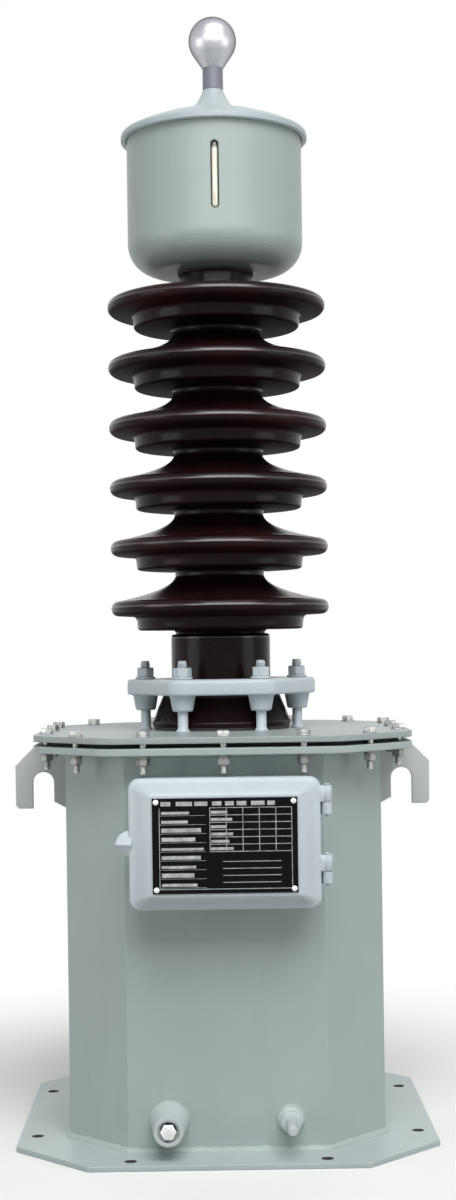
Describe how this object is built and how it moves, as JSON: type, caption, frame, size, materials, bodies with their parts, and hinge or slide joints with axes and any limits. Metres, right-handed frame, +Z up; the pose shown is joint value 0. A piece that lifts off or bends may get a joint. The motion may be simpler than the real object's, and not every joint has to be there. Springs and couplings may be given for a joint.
{
  "type": "voltage transformer",
  "caption": "Oil-immersed outdoor voltage transformer: chamfered tank on a base plate, shedded brown porcelain bushing, conservator pot with ball terminal, and a hinged terminal box.",
  "frame": {"origin": "middle of the base plate's underside, on the ground", "axes": "+Z up along the bushing, -Y out of the terminal box's front, +X towards the lid's hinge"},
  "size_m": [0.502, 0.4985, 1.334],
  "materials": {
    "grey_paint": "semi-gloss grey-green enamel on welded and cast steel",
    "rubber": "black nitrile gasket",
    "zinc": "zinc-plated steel",
    "board": "brown phenolic board",
    "brass": "plain brass",
    "plate": "black anodised plate",
    "brown_glaze": "glossy dark brown glaze",
    "gauge": "cream sight strip behind clear glass",
    "polished_metal": "polished"
  },
  "bodies": {
    "frame": {"base_plate": "grey_paint", "tank_shell": "grey_paint", "tank_flange": "grey_paint", "cover_gasket": "rubber", "tank_cover": "grey_paint", "left_lifting_hook": "grey_paint", "right_lifting_hook": "grey_paint", "drain_boss": "grey_paint", "drain_plug": "zinc", "earth_boss": "grey_paint", "earth_stud": "zinc", "earth_nut": "zinc", "terminal_box": "grey_paint", "gland_plate": "grey_paint", "terminal_board": "board", "terminal_studs": "brass", "upper_hinge_pin": "zinc", "lower_hinge_pin": "zinc", "foot_gasket": "rubber", "porcelain": "brown_glaze", "clamp_cushion": "rubber", "clamp_ring": "grey_paint", "clamp_stud_1": "grey_paint", "clamp_stud_2": "grey_paint", "clamp_stud_3": "grey_paint", "clamp_stud_4": "grey_paint", "clamp_stud_5": "grey_paint", "clamp_stud_6": "grey_paint", "head_gasket": "rubber", "conservator_pot": "grey_paint", "gauge_glass": "gauge", "conservator_lid": "grey_paint", "terminal_stem": "grey_paint", "terminal_ball": "polished_metal"},
    "lid": {"box_lid": "grey_paint", "lid_seal": "rubber", "nameplate": "plate", "latch_screw": "zinc"}
  },
  "joints": [
    {"name": "lid_hinge", "type": "hinge", "parent": "frame", "child": "lid", "pos_m": [0.11175, -0.233, 0.355], "axis": [0, 0, 1], "range_deg": [0, 115]}
  ]
}
